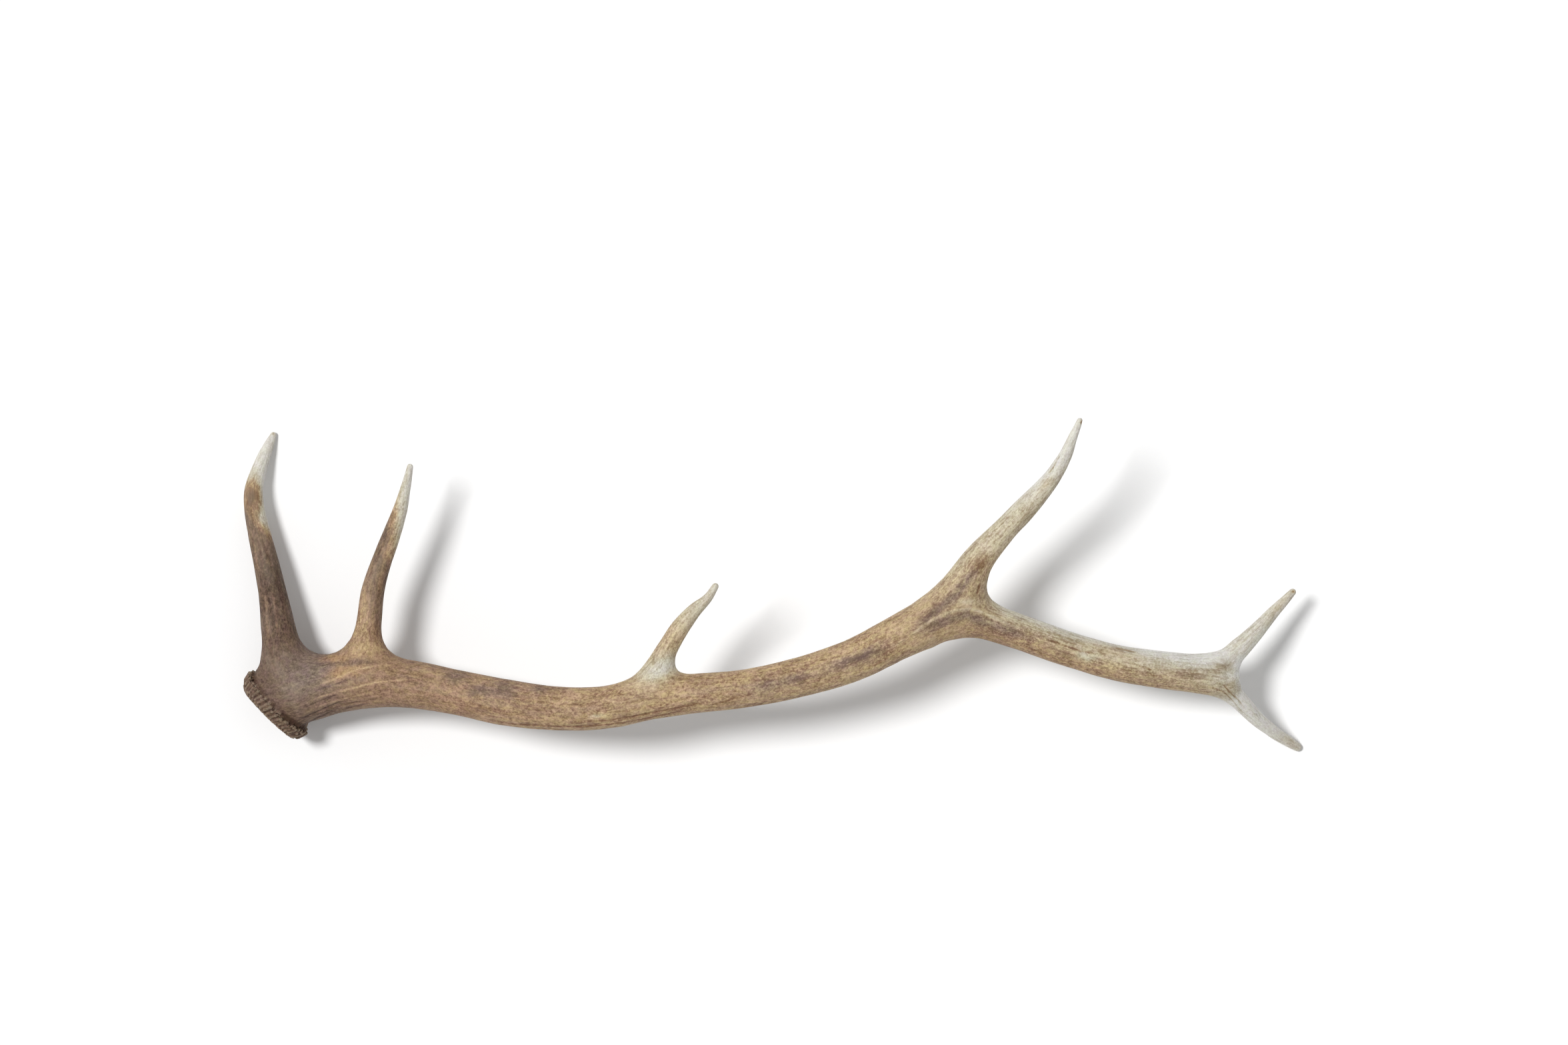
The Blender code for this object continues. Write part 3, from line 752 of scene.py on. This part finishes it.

# %% [markdown]
# Blots are rounder: worn patches, dark smudges, the chips at the tips, and two painted pools of
# light that offset the shade on steep tines. Each has a place in plan, two half sizes, a turn in
# degrees, and the effects of a stroke and a golden tint.
# What a row leaves out is 0. A little noise frays the edges, because nothing on a bone has a
# clean edge.

# %% Blots
Blot = namedtuple("Blot", "x y long wide turn wear dark mauve ochre lift", defaults=(0, 0, 0))
BLOTS = [Blot(*row) for row in [
    # The grey-purple area of the foot and the worn yellow patches next to it.
    (-450, -85, 38, 26, 20, 0.02, 0, 1),
    (-423, -86, 13, 6, 20, 0.06, -0.1, -0.8, 0.5),
    (-429, -72, 15, 4, 3, 0.1, -0.1, -0.8, 0.5),
    (-395, -63, 15, 7, 20, 0.14, -0.1, -0.6, 0.4),
    (-406, -75, 17, 4, 0, -0.06, 0.25, 0.5),
    (-406, -83, 9, 4, 10, 0.07, -0.2, -0.4, 0.4),
    # Brown smudges along the beam.
    (-308, -89, 13, 6, 0, -0.04, 0.26, 0.6),
    (-285, -102, 12, 6, 0, -0.04, 0.28, 0.7),
    (-261, -101, 13, 8, 0, -0.04, 0.28, 0.8),
    (-228, -102, 9, 5, 0, -0.03, 0.24, 0.6),
    (-7, -98, 20, 7, 8, -0.02, 0.22, 0.7),
    (22, -90, 16, 6, 10, -0.04, 0.26, 0.6),
    (68, -75, 22, 6, 20, -0.05, 0.32, 0.7),
    (92, -66, 18, 5, 25, -0.04, 0.28, 0.7),
    # The grey-white chip on the beam, and the pale foot of the trez tine.
    (-171, -127, 9, 3, 0, 0.3, -0.2, 0, 0, -0.4),
    (-107, -81, 26, 11, 20, 0.32, -0.15),
    # Dark, pale and golden places on the brow and bez tines.
    (-486, 22, 15, 48, 0, -0.02, 0.3, 0.1),
    (-372, 24, 12, 20, -10, -0.03, 0.26, 0.1),
    (-511, 85, 8, 17, 0, -0.9, 0.5, 0, 0.6),
    # A painted pool of light on the brow tine's right half, which offsets its shade.
    (-497, 108, 5, 11, -15, 0.1, -0.34),
    (-376, 31, 4, 8, -15, 0.28, -0.2, 0, 0.5),
    (-381, 8, 3, 13, -10, 0.12, -0.2, 0, 0.4),
    (-369, 66, 3, 6, -20, -0.2, 0.2, 0, 0.8),
    # The cream middle of the royal fork, and the foot of the royal tine.
    (185, -16, 13, 4, 0, 0.12, -0.25),
    (197, 21, 10, 7, 45, -0.08, 0.3, 0, 0.4),
    (262, 97, 9, 4, 50, -0.1, 0.25, 0, 0.4),
    # The upper beam and the crown.
    (302, -70, 11, 5, -10, 0.2, -0.2),
    (328, -64, 32, 5, -14, -0.06, 0.05, 0, 0.6),
    (437, -80, 12, 6, 15, -0.26, 0.3, 0.5),
    (402, -86, 24, 6, -3, -0.14, 0.15, 0.3),
    (455, -87, 4, 13, 0, 0.25, -0.3),
    # A painted pool of light that offsets the shade on the steep lower terminal tine.
    (471, -119, 17, 5, -45, 0.1, -0.34),
    (507, -156, 12, 6, -35, -0.08, 0.1, 0, 0.3),
    (494, -22, 14, 5, 45, -0.08, 0.1, 0, 0.3),
    # Dark chips at the tips.
    (-492, 148, 2, 2, 0, -0.22, 0.3, 0, 0, -0.05),
    (297, 158, 1.8, 2, 0, -0.6, 0.4, 0, 0, -0.4),
    (508, -6, 1.8, 1.6, 45, -0.5, 0.4, 0, 0, -0.3),
]]


def blot_weight(blot, plan):
    turn = math.radians(blot.turn)
    local = plan - np.array((blot.x, blot.y)) * MM
    along = local @ np.array((math.cos(turn), math.sin(turn))) / (blot.long * MM)
    across = local @ np.array((-math.sin(turn), math.cos(turn))) / (blot.wide * MM)
    return np.exp(-(along**2 + across**2))


print(len(BLOTS), "blots")

# %% [markdown]
# Both kinds only touch the outer side, which faces up here, and they add up into five numbers
# at every point: lift, wear, dark, mauve and ochre.

# %% Strokes and blots together
FRAY = 2.6 * MM
FRAY_CELL = 7 * MM
BREAK_CELL = 8 * MM  # a thin stroke fades in and out over about this length
MOSTLY = 0.85  # how much of it shows on average
BROAD = 4  # half width in millimetres from which a stroke is frayed instead
OUTER_FROM, OUTER_BAND = -0.45, 0.4  # how far up the skin has to face, and how it fades in
Marks = namedtuple("Marks", "lift wear dark mauve ochre")


def effect_of(mark):
    return np.array([mark.lift * MM, mark.wear, mark.dark, mark.mauve, mark.ochre])[:, None]


def marks_at(points, up):
    """The summed effect of all strokes and blots, on points whose skin faces up by so much."""
    plan = points[:, :2]
    cells = points / FRAY_CELL
    frayed = plan + FRAY * np.stack([noise_at(cells), noise_at(cells + 40)], axis=1)
    outer = np.clip((up - OUTER_FROM) / OUTER_BAND, 0, 1)
    broken = outer * np.clip(MOSTLY + noise_at(points / BREAK_CELL), 0, 1)
    total = np.zeros((5, len(points)))
    for stroke in STROKES:
        if stroke.half > BROAD:
            weight = outer * stroke_weight(stroke, frayed)
        else:
            weight = broken * stroke_weight(stroke, plan)
        total += weight * effect_of(stroke)
    for blot in BLOTS:
        weight = outer * blot_weight(blot, frayed)
        total += weight * effect_of(blot)
    return Marks(*total)


marks = marks_at(points, out[:, 2])
print("lift from", round(marks.lift.min() / MM, 2), "to", round(marks.lift.max() / MM, 2), "mm")

# %% [markdown]
# ## Cut the relief
#
# Now the skin is moved in by the furrows and out by the ridges. Close to the burr the furrows
# fade, and small knobs take over. The seal is worn flat in its middle and grainy, like the
# broken face of a sponge.

# %% Relief
BURR_CALM = (2 * MM, 9 * MM)
KNOB_CELL = 2.6 * MM
KNOB_DEPTH = 0.22 * MM
SEAL_FLAT_OUT = 9.4 * MM
SEAL_GRAIN_CELL = 2.4 * MM
SEAL_GRAIN_DEPTH = 0.7 * MM

to_burr = np.full(len(points), 1.0)
close = from_burr(points) < BURR_REACH
to_burr[close] = near_burr(points[close])[0]
plain = np.interp(to_burr, BURR_CALM, (0, 1))
knobs = (1 - plain) * np.abs(noise_at(points / KNOB_CELL)) * 2
points = points + out * (marks.lift - sunk * plain - knobs * KNOB_DEPTH)[:, None]

burr_out = burr_axes()[2]
grainy = np.abs(noise_at(points / SEAL_GRAIN_CELL + 7)) * SEAL_GRAIN_DEPTH
beyond = (points - BURR_CENTRE) @ burr_out - (SEAL_FLAT_OUT - grainy)
points = points - burr_out * np.maximum(beyond, 0)[:, None]
mesh.vertices.foreach_set("co", points.ravel())
print("burr points:", int((plain < 1).sum()))

# %% [markdown]
# ## Thin out the mesh
#
# The remesh spreads its vertices evenly, but smooth beam needs fewer than the burr. Decimate
# takes away the edges that matter least. A vertex group keeps it off the burr and off the
# strokes, which are too thin for a coarser mesh.

# %% Decimate
TRIANGLES = 192000
LIFT_KEPT = 0.2 * MM

plain_vertices = np.round(4 * plain * (1 - np.clip(np.abs(marks.lift) / LIFT_KEPT, 0, 1))) / 4
triangles = sum(len(face.vertices) - 2 for face in mesh.polygons)
mesh = modified(
    mesh, "DECIMATE", group=plain_vertices,
    ratio=TRIANGLES / triangles, use_collapse_triangulate=True, vertex_group_factor=1.0,
)
mesh.name = "antler_skin"
mesh.shade_smooth()
print("triangles:", triangles, "before and", len(mesh.polygons), "after")

# %% [markdown]
# ## Where dirt and painted shade sit
#
# Dirt stays in hollows and rubs off what stands out, and the material also paints shade into the
# hollows and a highlight onto the crests. Averaging every vertex with its neighbours a few times
# gives a smoothed skin. A vertex that lies under it is in a hollow, and one above it is on a crest.

# %% Hollows and crests
SMOOTHINGS = 12
HOLLOW_FULL = 0.35 * MM  # this deep counts as 1


def hollow_of(mesh):
    """How deep each vertex lies under the smoothed skin: positive in a hollow, negative on a crest."""
    points = read(mesh.vertices, "co", 3)
    edges = read(mesh.edges, "vertices", 2, int)
    ends = np.concatenate([edges, edges[:, ::-1]])
    counts = np.bincount(ends[:, 0], minlength=len(points))[:, None]
    smoothed = points
    for _ in range(SMOOTHINGS):
        smoothed = np.stack(
            [np.bincount(ends[:, 0], smoothed[ends[:, 1], axis], len(points)) for axis in range(3)], axis=1
        ) / counts
    normals = read(mesh.vertices, "normal", 3)
    return dot(smoothed - points, normals) / HOLLOW_FULL, normals


hollow, normals = hollow_of(mesh)
print("hollow from", round(hollow.min(), 2), "to", round(hollow.max(), 2))

# %% [markdown]
# ## Wear along the branches
#
# Bark sap and soil stain the bone brown, and rubbing bares it again: least at the foot, most
# at the tips. Wear is one number from 0, burnt brown, to 1, bare ivory. For each branch it is
# given at a few places along it, in millimetres. On some tines the change slants across.

# %% Wear
WEAR_ON_BEAM = [
    (0, 0.02), (40, 0.08), (80, 0.13), (120, 0.2), (200, 0.28), (300, 0.37), (420, 0.4),
    (600, 0.45), (660, 0.49), (720, 0.56), (780, 0.62), (850, 0.66), (900, 0.76), (963, 0.9),
]
WEAR_ON_TINES = [
    [(0, 0.02), (60, 0.01), (120, 0.04), (155, 0.12), (172, 0.86), (195, 0.97), (255, 1)],
    [(0, 0.42), (40, 0.4), (75, 0.14), (122, 0.05), (146, 0.6), (170, 0.86), (211, 1)],
    [(0, 0.68), (30, 0.7), (60, 0.62), (85, 0.56), (112, 0.72), (155, 0.9)],
    [(0, 0.46), (50, 0.54), (90, 0.68), (150, 0.74), (185, 0.88), (205, 0.98), (254, 1)],
    [(0, 0.86), (60, 0.93), (115, 0.93)],
    [(0, 0.9), (60, 1), (110, 1), (152, 0.96)],
]
SLANTS = [16, 25, 0, -30, 0, 0]  # how far the change runs ahead on one side of the tine
UPPER_BEAM_SIDE = 0.29  # how much paler the upper beam is on its +Y side
UPPER_BEAM = (640, 720)  # where along the beam this starts and is full


def wear_of(grain):
    along = grain.beam_place[:, 0] / MM
    wear = np.interp(along, *zip(*WEAR_ON_BEAM))
    wear = wear - UPPER_BEAM_SIDE * np.sin(around(grain.beam_place)) * np.interp(along, UPPER_BEAM, (0, 1))
    on_tine = np.zeros(len(wear))
    for i, (places, slant) in enumerate(zip(WEAR_ON_TINES, SLANTS)):
        place = grain.tine_place[grain.owner == i]
        there = place[:, 0] / MM + slant * np.sin(around(place))
        on_tine[grain.owner == i] = np.interp(there, *zip(*places))
    return blended(grain, wear, on_tine)


points = read(mesh.vertices, "co", 3)
grain = grain_of(points)
marks = marks_at(points, normals[:, 2])
wear = np.clip(wear_of(grain) + marks.wear, 0, 1)
print("mean wear:", round(wear.mean(), 2))

# %% [markdown]
# ## A chart of stains
#
# Close up, the bone is never one colour: light flecks lie among dark ones. The chart gives
# both colours, as seen under this light, and the share of dark flecks at eight stages of
# wear. The mauve of the foot and the gold of the worn patches tint both.

# %% Stain chart
Stain = namedtuple("Stain", "wear light dark dark_share")
STAINS = [Stain(*row) for row in [
    (0, (127, 105, 91), (72, 57, 49), 0.5),
    (0.12, (152, 127, 107), (104, 82, 69), 0.5),
    (0.27, (186, 157, 127), (126, 98, 79), 0.5),
    (0.45, (206, 183, 146), (132, 101, 79), 0.48),
    (0.6, (212, 195, 162), (140, 114, 90), 0.46),
    (0.75, (211, 205, 184), (158, 141, 113), 0.42),
    (0.9, (218, 217, 208), (186, 178, 160), 0.38),
    (1, (225, 225, 221), (206, 203, 194), 0.34),
]]
MAUVE_LIGHT, MAUVE_DARK = (160, 149, 142), (104, 91, 88)
OCHRE_LIGHT, OCHRE_DARK = (196, 164, 114), (142, 104, 68)
SEEN_TO_BONE = 0.92  # the lit bone looks a little brighter than its own colour
SHEEN = 0.012  # and its sheen adds this much white
OCHRE_SHARE, MAUVE_ON_LIGHT, MAUVE_ON_DARK = 0.5, 0.55, 0.7  # how far a full tint goes


def pigment(colour):
    """A colour as seen on the bone, turned into the linear colour of the bone itself."""
    seen = np.array(colour) / 255
    linear = ((seen + 0.055) / 1.055) ** 2.4  # the sRGB curve
    return linear * SEEN_TO_BONE - SHEEN


def tinted(base, tint, share):
    return base * (1 - share[:, None]) + pigment(tint) * share[:, None]


def chart(column):
    stages = [stain.wear for stain in STAINS]
    values = [pigment(getattr(stain, column)) for stain in STAINS]
    return np.stack([np.interp(wear, stages, channel) for channel in zip(*values)], axis=1)


mauve = np.clip(marks.mauve, 0, 1)
ochre = np.clip(marks.ochre, 0, 1)
light_tint = tinted(chart("light"), OCHRE_LIGHT, ochre * OCHRE_SHARE)
light_tint = tinted(light_tint, MAUVE_LIGHT, mauve * MAUVE_ON_LIGHT)
dark_tint = tinted(chart("dark"), OCHRE_DARK, ochre * OCHRE_SHARE)
dark_tint = tinted(dark_tint, MAUVE_DARK, mauve * MAUVE_ON_DARK)
dark_share = np.interp(wear, [stain.wear for stain in STAINS], [stain.dark_share for stain in STAINS])
dark_share = np.clip(dark_share + marks.dark, 0, 1)
print("mean light fleck:", light_tint.mean(axis=0).round(2), "mean dark fleck:", dark_tint.mean(axis=0).round(2))

# %% [markdown]
# The material reads all this from attributes, which are named numbers stored on every vertex.
# They travel with the mesh, so they need no image and no unwrapping.

# %% Attributes
KINDS = {1: ("FLOAT", "value"), 3: ("FLOAT_VECTOR", "vector"), 4: ("FLOAT_COLOR", "color")}
CRACKLE_ON_BEAM = [(0, 0.15), (120, 0.3), (640, 0.35), (740, 1), (940, 0.9)]  # place in millimetres
CRACKLE_ON_TINES = 0.25
CRACKLE_ROUND, CRACKLE_SIDE = 0.6, 0.5  # on average round the beam, and how much more on its lower side


def crackle_of(grain):
    """How strongly wavy cracks show: most on the lower side of the upper beam."""
    on_beam = np.interp(grain.beam_place[:, 0] / MM, *zip(*CRACKLE_ON_BEAM))
    on_beam = on_beam * np.clip(CRACKLE_ROUND + CRACKLE_SIDE * np.sin(around(grain.beam_place)), 0, 1)
    return blended(grain, on_beam, CRACKLE_ON_TINES)


stored = {
    "beam_place": grain.beam_place,
    "tine_place": tine_noise_place(grain),
    "tine_share": grain.tine_share,
    "light_tint": np.insert(light_tint, 3, 1, axis=1),
    "dark_tint": np.insert(dark_tint, 3, 1, axis=1),
    "dark_share": dark_share,
    "wear": wear,
    "hollow": hollow,
    "crackle": crackle_of(grain),
}
for name, values in stored.items():
    kind, field = KINDS[values.size // len(values)]
    stored_in = mesh.attributes.new(name, kind, "POINT").data
    stored_in.foreach_set(field, np.ascontiguousarray(values, np.float32).ravel())
print("attributes:", list(stored))

# %% [markdown]
# ## Grain of the bone as nodes
#
# One node group draws every pattern that follows the grain: patches as large as a thumb,
# flecks, long fine streaks, dots of a millimetre or two, a drift of hue, wavy cracks and long
# lines. It is used twice, with the place on the beam and with that on the tine, and the two
# are mixed, so the grain turns smoothly from the beam into each tine.

# %% Grain node group
# Length and width are in millimetres.
Pattern = namedtuple("Pattern", "name length width detail roughness distortion")
PATTERNS = [Pattern(*row) for row in [
    ("Patch", 26, 12, 2, 0.55, 0.4),
    ("Fleck", 4.2, 2.6, 4, 0.7, 0.3),
    ("Streak", 30, 1.8, 3, 0.55, 0.2),
    ("Dot", 1.9, 1.5, 1, 0.5, 0),
    ("Hue", 9, 5, 4, 0.65, 0.3),
    ("Crack", 10, 2.8, 2, 0.6, 0.8),
    ("Line", 45, 3.2, 2, 0.5, 0.3),
]]
APART = (7.3, 3.1, 5.7)  # how far apart two patterns look into the noise


def grain_group():
    group = bpy.data.node_groups.new("bone_grain", "ShaderNodeTree")
    group.interface.new_socket("Place", in_out="INPUT", socket_type="NodeSocketVector")
    enter = group.nodes.new("NodeGroupInput")
    leave = group.nodes.new("NodeGroupOutput")
    for i, pattern in enumerate(PATTERNS):
        group.interface.new_socket(pattern.name, in_out="OUTPUT", socket_type="NodeSocketFloat")
        stretch = group.nodes.new("ShaderNodeVectorMath")
        stretch.operation = "MULTIPLY_ADD"
        width = pattern.width * MM
        stretch.inputs[1].default_value = (1 / (pattern.length * MM), 1 / width, 1 / width)
        stretch.inputs[2].default_value = [i * step for step in APART]
        texture = group.nodes.new("ShaderNodeTexNoise")
        texture.inputs["Scale"].default_value = 1.0
        for name in ("detail", "roughness", "distortion"):
            texture.inputs[name.title()].default_value = getattr(pattern, name)
        group.links.new(enter.outputs["Place"], stretch.inputs[0])
        group.links.new(stretch.outputs[0], texture.inputs["Vector"])
        group.links.new(texture.outputs["Fac"], leave.inputs[pattern.name])
    return group


GRAIN_GROUP = grain_group()
print("the grain group gives", [pattern.name for pattern in PATTERNS])

# %% [markdown]
# ## The bone's material
#
# Flecks, patches, streaks and dots add up to one tone. Where it is above the local threshold
# the dark fleck shows, otherwise the light one. The hue drifts between yellow and red, least
# on bare bone. Cracks, lines, dirt and painted shade in hollows darken the result, and crests are
# painted paler, as rubbed bone and as a painted highlight. The same patterns drive a bump as fine
# as the grain and a sheen that grows with wear, because bare bone is polished and stained bone is dull.

# %% Node helpers
bone = bpy.data.materials.new("antler_bone")
bone.use_nodes = True
tree = bone.node_tree
shader = tree.nodes["Principled BSDF"]


def plug(socket, value):
    """Links a socket to another node's output, or sets its value."""
    if isinstance(value, bpy.types.NodeSocket):
        tree.links.new(value, socket)
    else:
        socket.default_value = value


def attribute(name, output="Fac"):
    node = tree.nodes.new("ShaderNodeAttribute")
    node.attribute_name = name
    return node.outputs[output]


def maths(operation, a, b=0.0, c=0.0):
    node = tree.nodes.new("ShaderNodeMath")
    node.operation = operation
    for socket, value in zip(node.inputs, (a, b, c)):
        plug(socket, value)
    return node.outputs[0]


def scaled(value, factor, plus=0.0):
    return maths("MULTIPLY_ADD", value, factor, plus)


def ramp(value, low, high, start=0.0, end=1.0):
    """A value from start to end as another one goes from low to high, eased at both ends."""
    node = tree.nodes.new("ShaderNodeMapRange")
    node.interpolation_type = "SMOOTHSTEP"
    for socket, setting in zip(node.inputs, (value, low, high, start, end)):
        plug(socket, setting)
    return node.outputs["Result"]


def mix(factor, a, b, kind="RGBA", blend="MIX"):
    node = tree.nodes.new("ShaderNodeMix")
    node.data_type = kind
    node.blend_type = blend
    shown = [socket for socket in node.inputs if socket.enabled]
    for socket, value in zip(shown, (factor, a, b)):
        plug(socket, value)
    return next(socket for socket in node.outputs if socket.enabled)


def times(colour, other):
    return mix(1.0, colour, other, blend="MULTIPLY")


def as_grey(value):
    node = tree.nodes.new("ShaderNodeCombineColor")
    for socket in node.inputs:
        plug(socket, value)
    return node.outputs[0]


# %% Grain on the beam and the tines
def grain_at(place):
    node = tree.nodes.new("ShaderNodeGroup")
    node.node_tree = GRAIN_GROUP
    plug(node.inputs["Place"], attribute(place, "Vector"))
    return node.outputs


share, on_beam, on_tine = attribute("tine_share"), grain_at("beam_place"), grain_at("tine_place")
names = [pattern.name for pattern in PATTERNS]
pattern = {name: mix(share, on_beam[name], on_tine[name], kind="FLOAT") for name in names}
print("patterns:", list(pattern))

# %% Colour
YELLOWER = (1.0, 1.01, 0.87, 1)
REDDER = (1.0, 0.93, 0.97, 1)
# Darker colour multiplied into hollows, cracks and lines: dirt and painted shade in the hollows, dark lines in the
# cracks.
DIRT_AND_SHADE = (0.38, 0.29, 0.23, 1)
# Paler colour painted on crests: partly bone rubbed bare, partly a painted highlight.
RUBBED_AND_HIGHLIGHT = (0.58, 0.50, 0.36, 1)
wear, hollow = attribute("wear"), attribute("hollow")


def added(tone, pattern, amount):
    """A tone with some of a pattern added, which keeps the tone's average."""
    return scaled(maths("SUBTRACT", pattern, 0.5), amount, tone)


def thin_line(value, width):
    """1 where a noise crosses its middle, falling to 0 within a width on both sides."""
    return ramp(maths("ABSOLUTE", maths("SUBTRACT", value, 0.5)), 0.0, width, 1.0, 0.0)


tone = added(pattern["Fleck"], pattern["Patch"], ramp(wear, 0.0, 0.3, 0.08, 0.4))
tone = added(tone, pattern["Streak"], ramp(wear, 0.3, 0.8, 0.12, 0.8))
tone = scaled(pattern["Dot"], 0.3, tone)  # about 0.65 on average
threshold = scaled(attribute("dark_share"), -0.5, 0.9)
darkness = ramp(maths("SUBTRACT", tone, threshold), -0.25, 0.25)
colour = mix(darkness, attribute("light_tint", "Color"), attribute("dark_tint", "Color"))
hue = mix(ramp(pattern["Hue"], 0.38, 0.62), YELLOWER, REDDER)
colour = mix(ramp(wear, 0.4, 0.8, 1.0, 0.4), colour, times(colour, hue))
colour = times(colour, as_grey(ramp(pattern["Dot"], 0.35, 0.65, 1.05, 0.93)))

crack_line = scaled(thin_line(pattern["Crack"], 0.03), attribute("crackle"))
long_line = scaled(thin_line(pattern["Line"], 0.025), ramp(pattern["Patch"], 0.4, 0.6))
# Hollows are darkened, partly as dirt and partly as painted shade; cracks and long lines darken too.
dirt_and_shade = maths("MAXIMUM", ramp(hollow, 0.1, 1.0, 0.0, 0.5), ramp(hollow, 0.8, 2.6, 0.0, 0.9))
dirt_and_shade = maths("MAXIMUM", dirt_and_shade, scaled(crack_line, 0.75))
dirt_and_shade = maths("MAXIMUM", dirt_and_shade, scaled(long_line, 0.5))
colour = mix(dirt_and_shade, colour, times(colour, DIRT_AND_SHADE))
# Crests are painted paler, partly as rubbed bone and partly as a painted highlight.
colour = mix(ramp(hollow, -0.2, -2.5, 0.0, 0.2), colour, RUBBED_AND_HIGHLIGHT)
plug(shader.inputs["Base Color"], colour)
print("nodes so far:", len(tree.nodes))

# %% Roughness and bump
BUMP_DEPTH = 0.6 * MM
shader.inputs["Specular IOR Level"].default_value = 0.25
roughness = ramp(wear, 0.1, 1.0, 0.68, 0.46)
roughness = scaled(pattern["Fleck"], 0.12, maths("SUBTRACT", roughness, 0.06))
plug(shader.inputs["Roughness"], roughness)

height = scaled(pattern["Fleck"], 0.5, scaled(pattern["Streak"], 0.4))
height = scaled(pattern["Dot"], 0.25, height)
height = maths("SUBTRACT", height, scaled(maths("MAXIMUM", crack_line, long_line), 0.5))
bump = tree.nodes.new("ShaderNodeBump")
bump.inputs["Strength"].default_value = 0.55
bump.inputs["Distance"].default_value = BUMP_DEPTH
plug(bump.inputs["Height"], height)
plug(shader.inputs["Normal"], bump.outputs["Normal"])
print("nodes in the bone's material:", len(tree.nodes))

# %% [markdown]
# ## Put the skin on
#
# The skin stands for all eight solids, because the real antler is one piece. They stay
# hidden under it.

# %% Place the skin and finish
mesh.materials.clear()
mesh.materials.append(bone)
antler = placed("antler_skin", mesh)
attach(antler, "root")
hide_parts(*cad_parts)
